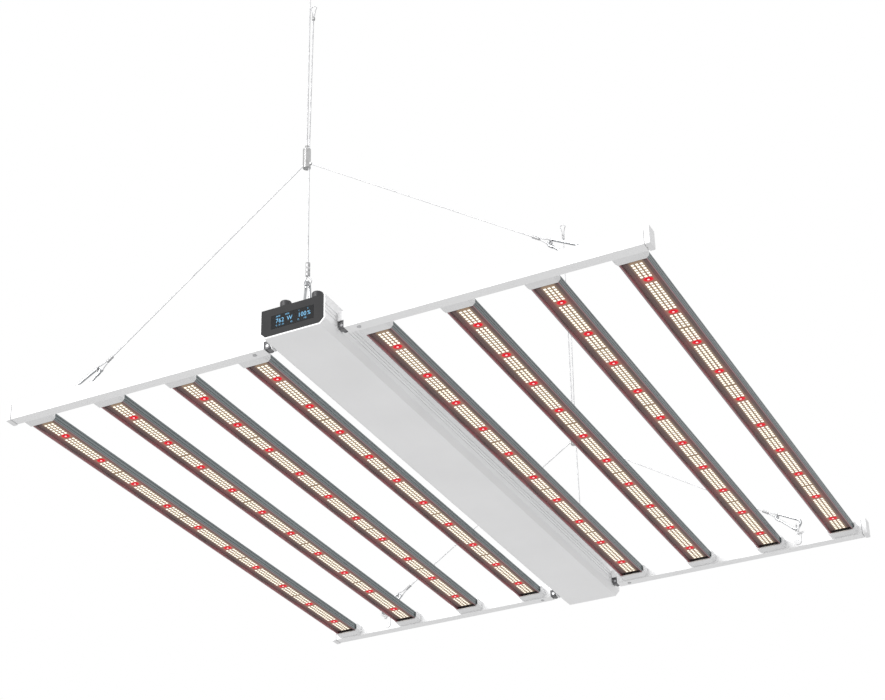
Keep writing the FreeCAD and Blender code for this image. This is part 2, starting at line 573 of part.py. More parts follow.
def led_bar(tag, bar_x, bar_length):
    """A bar channel: grooved side walls round the sunk LED board, a web over it, and five cooling fins."""
    web_low = "led_height + board_thickness + 0.1"
    web_high = f"{web_low} + bar_web"
    half_width = "bar_width / 2"
    groove_floor = f"{half_width} - bar_groove"
    right = [(f"{half_width} - bar_edge", "-bar_lip"), (half_width, "-bar_lip + bar_edge")]
    for level in ("bar_groove_low", "bar_groove_high"):
        right += [(half_width, level), (groove_floor, level), (groove_floor, f"{level} + bar_groove_width"),
                  (half_width, f"{level} + bar_groove_width")]
    right += [
        (half_width, "bar_top"),
        (f"{half_width} - bar_wall", "bar_top"),
        (f"{half_width} - bar_wall", web_high),
    ]
    fin_pitch = "(bar_width - 2 * bar_wall) / 6"
    fins = []
    for number in (2, 1, 0, -1, -2):
        middle = f"{number} * {fin_pitch}"
        fins += [
            (f"{middle} + fin_width / 2", web_high),
            (f"{middle} + fin_width / 2", "bar_top"),
            (f"{middle} - fin_width / 2", "bar_top"),
            (f"{middle} - fin_width / 2", web_high),
        ]
    left = [(f"-({across})", up) for across, up in reversed(right)]
    recess_half = f"{half_width} - bar_wall"
    board_half = "board_width / 2 + 0.3"
    recess = [
        (f"-({recess_half})", "-bar_lip"),
        (f"-({board_half})", "-0.6"),
        (f"-({board_half})", web_low),
        (board_half, web_low),
        (board_half, "-0.6"),
        (recess_half, "-bar_lip"),
    ]
    body = doc.addObject("PartDesign::Body", f"bar_{tag}")
    pad(body, f"bar_extrusion_{tag}", outline(body, f"bar_section_{tag}", "XZ_Plane", right + fins + left + recess),
        bar_length)
    return place(body, bar_x, 0, 0)


def end_bracket(tag, bar_x, depth):
    """A bent tray under the bar's end, with a plate against the arm's inner face."""
    half = "bar_width / 2 + bracket_side"
    low = "-bar_lip - bracket_drop"
    inner_bevel = "bracket_bevel - 0.586 * bracket_sheet"
    right = [
        (f"{half} - bracket_sheet", "bracket_rise"),
        (half, "bracket_rise"),
        (half, f"{low} + bracket_bevel"),
        (f"{half} - bracket_bevel", low),
    ]
    inside = [
        (f"{half} - bracket_sheet - ({inner_bevel})", f"{low} + bracket_sheet"),
        (f"{half} - bracket_sheet", f"{low} + bracket_sheet + {inner_bevel}"),
    ]
    tray = right + [(f"-({across})", up) for across, up in reversed(right)]
    tray = tray + [(f"-({across})", up) for across, up in reversed(inside)] + inside
    plate = [(half, "bracket_rise")] + right[2:]
    plate = plate + [(f"-({across})", up) for across, up in reversed(plate)]
    body = doc.addObject("PartDesign::Body", f"bracket_{tag}")
    toward_middle = depth < 0
    pad(body, f"bracket_plate_{tag}", outline(body, f"bracket_plate_outline_{tag}", "XZ_Plane", plate), "bracket_web",
        midplane=False, reverse=toward_middle)
    pad(body, f"bracket_tray_{tag}", outline(body, f"bracket_tray_outline_{tag}", "XZ_Plane", tray), "bracket_length",
        midplane=False, reverse=toward_middle)
    return place(body, bar_x, f"{depth} * ({arm_inner})", 0)


wing(-1, "left")
wing(1, "right")


# Wire forms. A path is straight runs joined by tangent arcs; printed radii show how gentle they are.
def bent_path(points, radii):
    """Edges through the points, each inner corner rounded by its radius."""
    edges = []
    start = points[0]
    for corner, radius, after in zip(points[1:-1], radii, points[2:]):
        inward = (start - corner).normalize()
        onward = (after - corner).normalize()
        half_turn = (math.pi - inward.getAngle(onward)) / 2
        reach = radius * math.tan(half_turn)
        first = corner + inward * reach
        last = corner + onward * reach
        bisector = (inward + onward).normalize()
        middle = corner + bisector * (radius / math.cos(half_turn) - radius)
        edges.append(Part.LineSegment(start, first).toShape())
        edges.append(Part.Arc(first, middle, last).toShape())
        start = last
    edges.append(Part.LineSegment(start, points[-1]).toShape())
    return edges


def wire_form(edges, radius):
    """Round wire of the given radius along the edges."""
    path = Part.Wire(edges)
    start = path.OrderedVertexes[0].Point
    direction = edges[0].tangentAt(edges[0].FirstParameter)
    ring = Part.Wire([Part.makeCircle(radius, start, direction)])
    return path.makePipeShell([ring], True, False)


def frame_at(origin, forward, sideways):
    """A placement whose local X points forward and whose local Y lies towards sideways."""
    return Placement(origin, Rotation(forward, sideways, Vector(), "XYZ"))


def eye_loop(radius, length, rope):
    """A teardrop of rope: an arc round the local origin, and two runs side by side at x = length."""
    neck = Vector(length - 1.4 * rope, rope * 1.05, 0)
    turn = math.atan2(neck.y, neck.x) + math.acos(radius / neck.Length)
    upper = Vector(radius * math.cos(turn), radius * math.sin(turn), 0)
    lower = Vector(upper.x, -upper.y, 0)
    outward = bent_path([Vector(length, neck.y, 0), neck, upper], [2.4 * rope])
    back = bent_path([lower, Vector(neck.x, -neck.y, 0), Vector(length, -neck.y, 0)], [2.4 * rope])
    return wire_form(outward + [Part.Arc(upper, Vector(-radius, 0, 0), lower).toShape()] + back, rope)


def ferrule(start, length, radius, rope):
    """A crimped sleeve along local X: wide enough for the loop's two runs, with rounded ends."""
    barrel = Part.makeCylinder(radius, length, Vector(start, 0, 0), Vector(1, 0, 0))
    ends = [edge for edge in barrel.Edges if len(edge.Vertexes) == 1 and abs(edge.Length - 2 * math.pi * radius) < 0.01]
    return barrel.makeFillet(min(0.6, (radius - 2 * rope) / 2), ends)


rope = value_of("rope_radius")
hook_wire = value_of("hook_wire")
hook_length = value_of("hook_length")
hook_seat = value_of("hook_wire + ring_wire / cos(ring_turn * 1deg) + hook_play")


def carabiner():
    """The open wire of a snap hook. Local X runs from the ring it hangs on to its narrow end."""
    wide = value_of("hook_wide / 2")
    narrow = value_of("hook_narrow / 2")
    back = -hook_seat
    tip = hook_length + back
    points = [
        Vector(tip - 9.5, -narrow - 0.4, 0),
        Vector(tip, -narrow, 0),
        Vector(tip, narrow, 0),
        Vector(back, wide, 0),
        Vector(back, -wide, 0),
        Vector(back + 8.5, -wide + 1, 0),
    ]
    body = wire_form(bent_path(points, [narrow * 0.97, narrow * 0.97, 6.5, 6]), hook_wire)
    tongue = Part.makeBox(4.5, 2.4, 1.4, Vector(tip - 13, -narrow - 1.5, -0.7))
    pin = Part.makeCylinder(0.7, 2 * 1.7, Vector(tip - 11.6, -narrow - 0.3, -1.7), Vector(0, 0, 1))
    return body.fuse([tongue, pin]).removeSplitter()


def gate():
    """The sprung gate of a snap hook, slotted over the hook's tongue and bored for its pin."""
    narrow = value_of("hook_narrow / 2")
    wide = value_of("hook_wide / 2")
    tip = hook_length - hook_seat
    hinge = Vector(tip - 11.6, -narrow - 0.3, 0)
    nose = Vector(-hook_seat + 9.1, -wide + 1.1, 0)
    along = (nose - hinge).normalize()
    radius = value_of("gate_wire")
    start = hinge - along * 1.5
    bar = Part.makeCylinder(radius, (nose - start).Length, start, along)
    slot = Part.makeBox(6.6, 8, 1.8, Vector(hinge.x - 4.2, hinge.y - 4, -0.9))
    bore = Part.makeCylinder(0.76, 8, Vector(hinge.x, hinge.y, -4), Vector(0, 0, 1))
    return bar.cut([slot, bore]), hinge


def placed(shape, placement):
    copy = shape.copy()
    copy.Placement = placement.multiply(copy.Placement)
    return copy


up = Vector(0, 0, 1)
hook_shape = carabiner()
gate_shape, gate_hinge = gate()
hook_tip = hook_length - hook_seat
gripper_x = value_of("gripper_x")
gripper_bottom = value_of("gripper_bottom")
gripper_top = gripper_bottom + value_of("gripper_length")
hanger_out = value_of("hanger_out")
socket_z = gripper_bottom + value_of("socket_height")
ring_out = value_of("tab_out + ring_shift")
ring_top = value_of("ring_centre + ring_radius")
ring_plane = value_of(f"{arm_inner} - ring_inboard")
ferrule_radius = value_of("ferrule_radius")
ferrule_length = value_of("ferrule_length")
joints = {}
cords = []


def tube_between(label, start, end):
    """A taut strand of wire rope between two places."""
    run = end - start
    solid = Part.makeCylinder(rope, run.Length, start, run)
    cords.append((label, run.Length))
    return shaped(label, [solid])


# Leg of each wing and end: tab ring, carabiner, eye loop, ferrule, and rope up to the gripper socket.
socket_axes = {}
for side, hand in ((-1, "left"), (1, "right")):
    hooks, fittings = [], []
    for depth, end in ((-1, "near"), (1, "far")):
        pivot = Vector(side * ring_out, depth * ring_plane, ring_top)
        aim = Vector(gripper_x + side * value_of("socket_reach"), depth * ring_plane, socket_z)
        pull = (aim - pivot).normalize()
        spine = Vector(0, side * depth, 0).cross(pull) * (side * depth)
        if spine.z < 0:
            spine = spine * -1
        hook_place = frame_at(pivot, pull, spine)
        hooks.append(placed(hook_shape, hook_place))
        shaped(f"{hand}_{end}_leg_gate", [placed(gate_shape, hook_place)])
        joints[f"{hand}_{end}_leg_gate"] = (hook_place.multVec(gate_hinge), hook_place.Rotation.multVec(up) * -1)
        loop_centre = pivot + pull * hook_tip
        socket_foot = Vector(gripper_x, depth * hanger_out, socket_z)
        leg = (socket_foot - loop_centre).normalize()
        socket_axes[(hand, end)] = leg * -1
        across = Vector(0, 1, 0) - leg * leg.y
        across = Rotation(leg, value_of("leg_loop_turn") * side).multVec(across.normalize())
        loop_place = frame_at(loop_centre, leg, across)
        loop_length = value_of("leg_loop_length")
        fittings.append(placed(eye_loop(value_of("hook_wire + rope_radius + leg_loop_play"), loop_length, rope), loop_place))
        fittings.append(placed(ferrule(loop_length, ferrule_length, ferrule_radius, rope), loop_place))
        socket_face = socket_foot - leg * value_of("socket_reach + leg_release")
        tube_between(f"{hand}_{end}_leg", loop_centre + leg * (loop_length + ferrule_length), socket_face)
    shaped(f"{hand}_leg_carabiners", hooks)
    shaped(f"{hand}_leg_ends", fittings)

# Centre legs, from the eyes on the housing up to the grippers.
eyes, hooks, fittings, grippers, ceiling_eyes, tail_eyes = [], [], [], [], [], []
housing_top = value_of("housing_top")
ring_radius = value_of("ring_radius")
ring_wire = value_of("ring_wire")
strand_x = gripper_x + value_of("strand_gap")
for depth, end in ((-1, "near"), (1, "far")):
    eye_centre = Vector(0, depth * hanger_out, housing_top + value_of("eye_rise"))
    ring = Part.makeTorus(ring_radius, ring_wire, eye_centre, Vector(0, 1, 0))
    foot = Part.makeCylinder(6, 2, Vector(0, depth * hanger_out, housing_top), up)
    shank = Part.makeCylinder(2.2, eye_centre.z - ring_radius - housing_top,
                              Vector(0, depth * hanger_out, housing_top), up)
    eyes.append(ring.fuse([foot, shank]).removeSplitter())
    pivot = eye_centre + up * ring_radius
    hook_place = frame_at(pivot, up, Vector(0, -depth, 0))
    hooks.append(placed(hook_shape, hook_place))
    shaped(f"{end}_centre_gate", [placed(gate_shape, hook_place)])
    joints[f"{end}_centre_gate"] = (hook_place.multVec(gate_hinge), hook_place.Rotation.multVec(up) * -1)
    loop_centre = pivot + up * hook_tip
    loop_place = frame_at(loop_centre, up, Vector(1, 0, 0))
    loop_length = value_of("centre_loop_length")
    fittings.append(placed(eye_loop(value_of("centre_loop"), loop_length, rope), loop_place))
    centre_ferrule = value_of("centre_ferrule_length")
    fittings.append(placed(ferrule(loop_length, centre_ferrule, value_of("centre_ferrule_radius"), rope), loop_place))
    tube_between(f"{end}_centre_leg", loop_centre + up * (loop_length + centre_ferrule),
                 Vector(strand_x, depth * hanger_out, gripper_bottom))

    # Gripper: a barrel with side sockets for the legs and a bored top for the release plunger.
    axis_foot = Vector(gripper_x, depth * hanger_out, gripper_bottom)
    radius = value_of("gripper_radius")
    barrel = Part.makeCylinder(radius, gripper_top - gripper_bottom, axis_foot, up)
    rims = [edge for edge in barrel.Edges if abs(edge.Length - 2 * math.pi * radius) < 0.01]
    barrel = barrel.makeFillet(0.8, rims)
    sockets = []
    for hand in ("left", "right"):
        axis = socket_axes[(hand, end)]
        sockets.append(Part.makeCylinder(value_of("socket_radius"), value_of("socket_reach"),
                                         Vector(gripper_x, depth * hanger_out, socket_z), axis))
    plunger_radius = value_of("plunger_radius")
    plunger_floor = gripper_top - value_of("plunger_travel") - 8
    well = Part.makeCylinder(plunger_radius + value_of("shaft_running"), gripper_top - plunger_floor + 1,
                             Vector(gripper_x, depth * hanger_out, plunger_floor), up)
    grippers.append(barrel.fuse(sockets).cut(well).removeSplitter())
    plunger = Part.makeCylinder(plunger_radius, value_of("plunger_up") + 7,
                                Vector(gripper_x, depth * hanger_out, gripper_top - 7), up)
    collar = Part.makeCylinder(plunger_radius + 0.4, 1.6,
                               Vector(gripper_x, depth * hanger_out, gripper_top + value_of("plunger_up") - 1.6), up)
    rope_way = Part.makeCylinder(rope + 0.25, 40, Vector(gripper_x, depth * hanger_out, gripper_top - 20), up)
    shaped(f"{end}_release_plunger", [plunger.fuse(collar).cut(rope_way).removeSplitter()])

    # Main strand up to the ceiling eye, and the tail strand with its small loop.
    ceiling = Vector(0, depth * hanger_out, value_of("lamp_drop"))
    strand_foot = Vector(gripper_x, depth * hanger_out, plunger_floor + 0.2)
    drop = (strand_foot - ceiling).normalize()
    ceiling_place = frame_at(ceiling, drop, Vector(1, 0, 0))
    ceiling_length = value_of("ceiling_loop_length")
    ceiling_eyes.append(placed(eye_loop(value_of("ceiling_loop"), ceiling_length, rope), ceiling_place))
    ceiling_eyes.append(placed(ferrule(ceiling_length, ferrule_length, ferrule_radius, rope), ceiling_place))
    tube_between(f"{end}_main_strand", strand_foot, ceiling + drop * (ceiling_length + ferrule_length))
    tail_foot = Vector(strand_x, depth * hanger_out, gripper_top + 0.1)
    tail_top = Vector(strand_x + value_of("tail_lean"), depth * hanger_out, value_of("tail_loop_height"))
    tail = (tail_foot - tail_top).normalize()
    tail_place = frame_at(tail_top, tail, Vector(1, 0, 0))
    tail_length = value_of("tail_loop_length")
    tail_eyes.append(placed(eye_loop(value_of("tail_loop"), tail_length, rope), tail_place))
    tail_ferrule = value_of("tail_ferrule_length")
    tail_eyes.append(placed(ferrule(tail_length, tail_ferrule, ferrule_radius, rope), tail_place))
    tube_between(f"{end}_tail_strand", tail_foot, tail_top + tail * (tail_length + tail_ferrule))
shaped("housing_eyes", eyes)
shaped("centre_carabiners", hooks)
shaped("centre_leg_ends", fittings)
shaped("rope_grippers", grippers)
shaped("ceiling_eyes", ceiling_eyes)
shaped("tail_eyes", tail_eyes)

doc.recompute()
for item in doc.Objects:
    if "Invalid" in item.State or "Error" in item.State:
        raise ValueError(f"{item.Name} failed: {item.State}")
for item in sub_parts:
    if item.Shape.isNull() or not item.Shape.isValid() or not item.Shape.Solids:
        raise ValueError(f"{item.Label} has no sound shape")
    item.Shape.exportStep(f"parts/{item.Label}.step")
    print(item.Label, len(item.Shape.Solids), round(item.Shape.Volume))
print(len(sub_parts), "sub-parts")
for label, length in cords:
    print(label, "length", round(length, 1))
drop = value_of("lamp_drop")
for label, (point, axis) in joints.items():
    below = [round(number, 3) for number in (point.x, point.y, point.z - drop)]
    print(label, "pivot", below, "axis", [round(number, 4) for number in axis])
print("leg swing pivot", round(ring_out, 3), round(ring_top - drop, 3))
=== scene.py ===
import math

import bmesh
import bpy
from mathutils import Euler, Matrix, Vector


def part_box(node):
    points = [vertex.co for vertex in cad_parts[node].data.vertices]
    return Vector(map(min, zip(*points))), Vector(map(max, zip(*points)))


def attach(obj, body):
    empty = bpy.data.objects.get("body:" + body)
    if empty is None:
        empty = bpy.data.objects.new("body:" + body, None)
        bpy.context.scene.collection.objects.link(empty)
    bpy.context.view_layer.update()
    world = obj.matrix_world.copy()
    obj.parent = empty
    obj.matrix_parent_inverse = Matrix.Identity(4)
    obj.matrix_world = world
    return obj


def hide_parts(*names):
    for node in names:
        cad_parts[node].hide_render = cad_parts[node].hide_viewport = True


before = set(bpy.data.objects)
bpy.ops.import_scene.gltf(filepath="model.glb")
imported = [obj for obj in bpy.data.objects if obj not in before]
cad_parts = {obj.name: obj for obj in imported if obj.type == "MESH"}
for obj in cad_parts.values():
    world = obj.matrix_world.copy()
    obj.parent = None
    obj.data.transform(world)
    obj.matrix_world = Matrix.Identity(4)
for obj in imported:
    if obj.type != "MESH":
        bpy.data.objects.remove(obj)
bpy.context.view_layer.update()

# Camera: below the lamp and to its right, looking up at the LED faces. It stands about 3.4 m from
# the lamp, and the picture is framed a little to one side of the lens axis.
camera_data = bpy.data.cameras.new("camera")
camera_data.sensor_width = 36
camera_data.lens = 80.54
camera_data.shift_x = 0.1045
camera_data.shift_y = 0.0565
camera_data.clip_start = 0.05
camera_data.clip_end = 60
camera = bpy.data.objects.new("camera", camera_data)
camera.location = (1.19033, -2.57103, -2.16844)
camera.rotation_euler = Euler((math.radians(118.553), 0, math.radians(28.485)))
bpy.context.scene.collection.objects.link(camera)
bpy.context.scene.camera = camera

# Wire ropes: galvanised steel rope of 2 mm, six strands laid round a core. Four legs, two centre
# legs, two main strands and two tails are cut lengths, pulled straight by the lamp's weight.
ROPE_RADIUS = 0.001
ROPE_LAY = 0.013
HANGER_OUT = 0.503
LOOP_TURN = math.radians(35)


def new_material(name, roughness, metallic=0.0, colour=(0.8, 0.8, 0.8)):
    """A material and its nodes; the Principled BSDF is already joined to the output."""
    material = bpy.data.materials.new(name)
    material.use_nodes = True
    nodes = material.node_tree.nodes
    shader = nodes["Principled BSDF"]
    shader.inputs["Base Color"].default_value = (*colour, 1)
    shader.inputs["Roughness"].default_value = roughness
    shader.inputs["Metallic"].default_value = metallic
    return material, nodes, material.node_tree.links, shader


def new_group(name, inputs, outputs):
    """An empty node group with named sockets, each given as (name, type) or (name, type, value)."""
    tree = bpy.data.node_groups.new(name, "ShaderNodeTree")
    for title, kind, value in inputs:
        socket = tree.interface.new_socket(title, in_out="INPUT", socket_type=kind)
        socket.default_value = value
    for title, kind in outputs:
        tree.interface.new_socket(title, in_out="OUTPUT", socket_type=kind)
    return tree, tree.nodes.new("NodeGroupInput"), tree.nodes.new("NodeGroupOutput")


def use_group(nodes, tree, **values):
    node = nodes.new("ShaderNodeGroup")
    node.node_tree = tree
    for title, value in values.items():
        node.inputs[title.replace("_", " ")].default_value = value
    return node


# The grain group gives any finish its small unevenness: a fine bump, and slow changes of colour
# and of roughness. Stretch pulls the grain out along an axis, for drawn and extruded metal.
grain, grain_in, grain_out = new_group(
    "surface_grain",
    [
        ("Colour", "NodeSocketColor", (0.8, 0.8, 0.8, 1)),
        ("Worn Colour", "NodeSocketColor", (0.7, 0.7, 0.7, 1)),
        ("Stretch", "NodeSocketVector", (1, 1, 1)),
        ("Fine", "NodeSocketFloat", 900.0),
        ("Broad", "NodeSocketFloat", 14.0),
        ("Least Roughness", "NodeSocketFloat", 0.35),
        ("Most Roughness", "NodeSocketFloat", 0.5),
    ],
    [("Colour", "NodeSocketColor"), ("Roughness", "NodeSocketFloat"), ("Height", "NodeSocketFloat")],
)
where = grain.nodes.new("ShaderNodeTexCoord")
pulled = grain.nodes.new("ShaderNodeVectorMath")
pulled.operation = "MULTIPLY"
fine = grain.nodes.new("ShaderNodeTexNoise")
fine.inputs["Detail"].default_value = 3
broad = grain.nodes.new("ShaderNodeTexNoise")
broad.inputs["Detail"].default_value = 5
spread = grain.nodes.new("ShaderNodeMapRange")
spread.inputs["From Min"].default_value = 0.35
spread.inputs["From Max"].default_value = 0.7
colours = grain.nodes.new("ShaderNodeMix")
colours.data_type = "RGBA"
dull = grain.nodes.new("ShaderNodeMapRange")
dull.inputs["From Min"].default_value = 0.3
dull.inputs["From Max"].default_value = 0.7
for start, end in (
    (where.outputs["Object"], pulled.inputs[0]),
    (grain_in.outputs["Stretch"], pulled.inputs[1]),
    (pulled.outputs["Vector"], fine.inputs["Vector"]),
    (pulled.outputs["Vector"], broad.inputs["Vector"]),
    (grain_in.outputs["Fine"], fine.inputs["Scale"]),
    (grain_in.outputs["Broad"], broad.inputs["Scale"]),
    (broad.outputs["Fac"], spread.inputs["Value"]),
    (spread.outputs["Result"], colours.inputs["Factor"]),
    (grain_in.outputs["Colour"], colours.inputs[6]),
    (grain_in.outputs["Worn Colour"], colours.inputs[7]),
    (fine.outputs["Fac"], dull.inputs["Value"]),
    (grain_in.outputs["Least Roughness"], dull.inputs["To Min"]),
    (grain_in.outputs["Most Roughness"], dull.inputs["To Max"]),
    (colours.outputs[2], grain_out.inputs["Colour"]),
    (dull.outputs["Result"], grain_out.inputs["Roughness"]),
    (fine.outputs["Fac"], grain_out.inputs["Height"]),
):
    grain.links.new(start, end)


def grained(name, colour, worn, fine, broad, least, most, bump, stretch=(1, 1, 1), metallic=0.0):
    """A material whose colour, roughness and bump come from the grain group."""
    material, nodes, links, shader = new_material(name, least, metallic)
    texture = use_group(nodes, grain, Colour=(*colour, 1), Worn_Colour=(*worn, 1), Fine=fine, Broad=broad,
                        Stretch=stretch, Least_Roughness=least, Most_Roughness=most)
    raised = nodes.new("ShaderNodeBump")
    raised.inputs["Strength"].default_value = bump
    raised.inputs["Distance"].default_value = 0.0002
    links.new(texture.outputs["Colour"], shader.inputs["Base Color"])
    links.new(texture.outputs["Roughness"], shader.inputs["Roughness"])
    links.new(texture.outputs["Height"], raised.inputs["Height"])
    links.new(raised.outputs["Normal"], shader.inputs["Normal"])
    return material


rope_steel = grained("galvanised_rope", (0.62, 0.62, 0.63), (0.42, 0.42, 0.43), 2600, 90, 0.32, 0.5, 0.3, metallic=0.6)
ferrule_metal = grained("crimped_ferrule", (0.46, 0.46, 0.465), (0.34, 0.34, 0.345), 1800, 120, 0.35, 0.55, 0.4,
                        metallic=0.7)


def add_piece(name, mesh, body, slot_name, material, *replaced):
    """A finished mesh as an object that rides on a body and takes the given material; slot_name is not used."""
    mesh.name = name
    thing = bpy.data.objects.new(name, mesh)
    bpy.context.scene.collection.objects.link(thing)
    thing.data.materials.append(material)
    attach(thing, body)
    if replaced:
        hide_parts(*replaced)
    return thing


def rope_section():
    """The outline of six round strands, as a closed profile curve."""
    data = bpy.data.curves.new("rope_section", "CURVE")
    data.dimensions = "2D"
    spline = data.splines.new("POLY")
    spots = []
    for strand in range(6):
        middle = Vector((0.64, 0)) @ Matrix.Rotation(strand * math.pi / 3, 2)
        for step in (-1.05, -0.35, 0.35, 1.05):
            spots.append(middle + Vector((0.36, 0)) @ Matrix.Rotation(strand * math.pi / 3 + step, 2))
    spline.points.add(len(spots) - 1)
    for point, spot in zip(spline.points, spots):
        point.co = (spot.x * ROPE_RADIUS, spot.y * ROPE_RADIUS, 0, 1)
    spline.use_cyclic_u = True
    section = bpy.data.objects.new("rope_section", data)
    bpy.context.scene.collection.objects.link(section)
    return section


def as_mesh(thing):
    bpy.context.view_layer.update()
    return bpy.data.meshes.new_from_object(thing.evaluated_get(bpy.context.evaluated_depsgraph_get()))


def laid_rope(points):
    """Laid rope along a NURBS route: its mesh, and the points that it follows."""
    data = bpy.data.curves.new("rope_route", "CURVE")
    data.dimensions = "3D"
    spline = data.splines.new("NURBS")
    spline.points.add(len(points) - 1)
    run = 0.0
    for number, (point, spot) in enumerate(zip(spline.points, points)):
        if number:
            run += (Vector(spot) - Vector(points[number - 1])).length
        point.co = (*spot, 1)
        point.tilt = math.tau * run / ROPE_LAY
    spline.order_u = 3
    spline.use_endpoint_u = True
    spline.resolution_u = max(4, round(run / ROPE_LAY * 11 / (len(points) - 2)))
    route = bpy.data.objects.new("rope_route", data)
    bpy.context.scene.collection.objects.link(route)
    line = as_mesh(route)
    path = [vertex.co.copy() for vertex in line.vertices]
    section = rope_section()
    data.bevel_mode = "OBJECT"
    data.bevel_object = section
    data.use_fill_caps = True
    mesh = as_mesh(route)
    mesh.shade_smooth()
    bpy.data.objects.remove(route)
    bpy.data.objects.remove(section)
    return mesh, path


def eye_and_ferrule(name, centre, along, across, radius, neck, crimp, sleeve, body, node):
    """A wire eye round the centre, closed by a crimped ferrule that starts at the neck's length."""
    along = Vector(along).normalized()
    across = Vector(across)
    across = (across - along * across.dot(along)).normalized()
    turn = Matrix((along, across, along.cross(across))).transposed().to_4x4()
    place = Matrix.Translation(centre) @ turn
    outer = radius * 1.081
    local = [(neck + crimp * 0.6, 0.00105), (neck - 0.0008, 0.00105)]
    local += [(outer * math.cos(math.radians(a)), outer * math.sin(math.radians(a))) for a in (40, 85, 132, 180)]
    local += [(x, -y) for x, y in reversed(local[:-1])]
    mesh, path = laid_rope([place @ Vector((x, y, 0)) for x, y in local])
    eye = add_piece(name + "_eye", mesh, body, "rope_end", rope_steel, node)

    # The ferrule is turned from a half outline, then pressed flatter where the tool crimped it.
    bm = bmesh.new()
    end = 0.0006
    outline = [(neck, 0.0021), (neck + 0.0002, sleeve - 0.0003), (neck + end, sleeve)]
    if crimp > 0.010:
        for middle in (0.33, 0.67):
            spot = neck + crimp * middle
            outline += [(spot - 0.0013, sleeve), (spot - 0.0008, sleeve - 0.0003), (spot + 0.0008, sleeve - 0.0003),
                        (spot + 0.0013, sleeve)]
    outline += [(neck + crimp - end, sleeve), (neck + crimp - 0.0002, sleeve - 0.0003), (neck + crimp, 0.0011)]
    rim = [bm.verts.new((x, y, 0)) for x, y in outline]
    edges = [bm.edges.new(pair) for pair in zip(rim, rim[1:])]
    bmesh.ops.spin(bm, geom=rim + edges, cent=(0, 0, 0), axis=(1, 0, 0), angle=math.tau, steps=24, use_merge=True)
    bmesh.ops.holes_fill(bm, edges=[edge for edge in bm.edges if edge.is_boundary])
    bmesh.ops.recalc_face_normals(bm, faces=bm.faces)
    bmesh.ops.transform(bm, matrix=place, verts=bm.verts)
    mesh = bpy.data.meshes.new(name)
    bm.to_mesh(mesh)
    bm.free()
    mesh.shade_smooth()
    ferrule = add_piece(name + "_ferrule", mesh, body, "rope_end", ferrule_metal, node)
    return eye, ferrule


def cut_rope(node, points, body):
    """A cut length of rope along the given points."""
    mesh, path = laid_rope(points)
    rope = add_piece(node + "_rope", mesh, body, "wire_rope", rope_steel, node)
    return rope


for end, depth in (("near", -1), ("far", 1)):
    # Legs: from the gripper's side sockets out to the snap hooks on the arms.
    for hand, loop_x, loop_z, foot_x, foot_z, way in (
        ("left", -0.36381, -0.71729, -0.01176, -0.47729, (0.82583, 0.03213, 0.56300)),
        ("right", 0.36358, -0.71761, 0.00381, -0.47722, (-0.83105, 0.03165, 0.55529)),
    ):
        side = -1 if hand == "left" else 1
        along = Vector((way[0], way[1] * depth, way[2]))
        across = Matrix.Rotation(LOOP_TURN * side, 4, along) @ Vector((0, 1, 0))
        centre = Vector((loop_x, 0.489 * depth, loop_z))
        pieces = eye_and_ferrule(f"{hand}_{end}_leg", centre, along, across, 0.0046, 0.016, 0.012, 0.0025,
                                 f"{hand}_legs", f"{hand}_leg_ends")
        foot = Vector((foot_x, 0.5027 * depth, foot_z))
        top = centre + along * 0.028
        cut_rope(f"{hand}_{end}_leg", [foot, (foot + top) / 2, top], f"{hand}_legs")

    # Centre leg, main strand and tail hang in line, above and below the gripper.
    y = HANGER_OUT * depth
    pieces = eye_and_ferrule(f"{end}_centre_leg", Vector((0, y, -0.679997)), (0, 0, 1), (1, 0, 0), 0.006, 0.009, 0.023,
                             0.0033, "housing", "centre_leg_ends")
    cut_rope(f"{end}_centre_leg", [Vector((0, y, -0.483)), Vector((0, y, -0.5655)), Vector((0, y, -0.647997))],
             "housing")
    drop = Vector((-0.004, 0, -0.4598)).normalized()
    ceiling = Vector((0, y, 0))
    pieces = eye_and_ferrule(f"{end}_ceiling", ceiling, drop, (1, 0, 0), 0.005, 0.018, 0.012, 0.0025, "housing",
                             "ceiling_eyes")
    foot = Vector((-0.004, y, -0.4598))
    top = ceiling + drop * 0.030
    cut_rope(f"{end}_main_strand", [foot, (foot + top) / 2, top], "housing")
    loop = Vector((0.005, y, -0.187))
    foot = Vector((0, y, -0.4489))
    pull = (foot - loop).normalized()
    pieces = eye_and_ferrule(f"{end}_tail", loop, pull, (1, 0, 0), 0.0045, 0.017, 0.006, 0.0025, "housing",
                             "tail_eyes")
    top = loop + pull * 0.023
    cut_rope(f"{end}_tail_strand", [foot, (foot + top) / 2, top], "housing")

# Driver housing, its end plate, the cross arms and their caps: extruded or pressed aluminium with a
# satin white powder coat. The caps are moulded in a white to match.
powder_coat = grained("white_powder_coat", (0.815, 0.815, 0.82), (0.785, 0.785, 0.79), 1400, 9, 0.38, 0.52, 0.16)
cap_plastic = grained("white_cap_plastic", (0.77, 0.77, 0.775), (0.73, 0.73, 0.735), 2600, 25, 0.45, 0.58, 0.12)
sheet_coat = grained("white_coated_sheet", (0.75, 0.75, 0.755), (0.70, 0.70, 0.705), 1700, 22, 0.4, 0.55, 0.18)


def paint(material, *names):
    for name in names:
        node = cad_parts[name]
        node.data.materials.clear()
        node.data.materials.append(material)


paint(powder_coat, "driver_housing", "rear_end_plate", "left_arms", "right_arms")
paint(cap_plastic, "left_arm_end_caps", "right_arm_end_caps")
paint(sheet_coat, "left_bar_end_brackets", "right_bar_end_brackets", "left_hanger_tabs", "right_hanger_tabs",
      "housing_eyes")


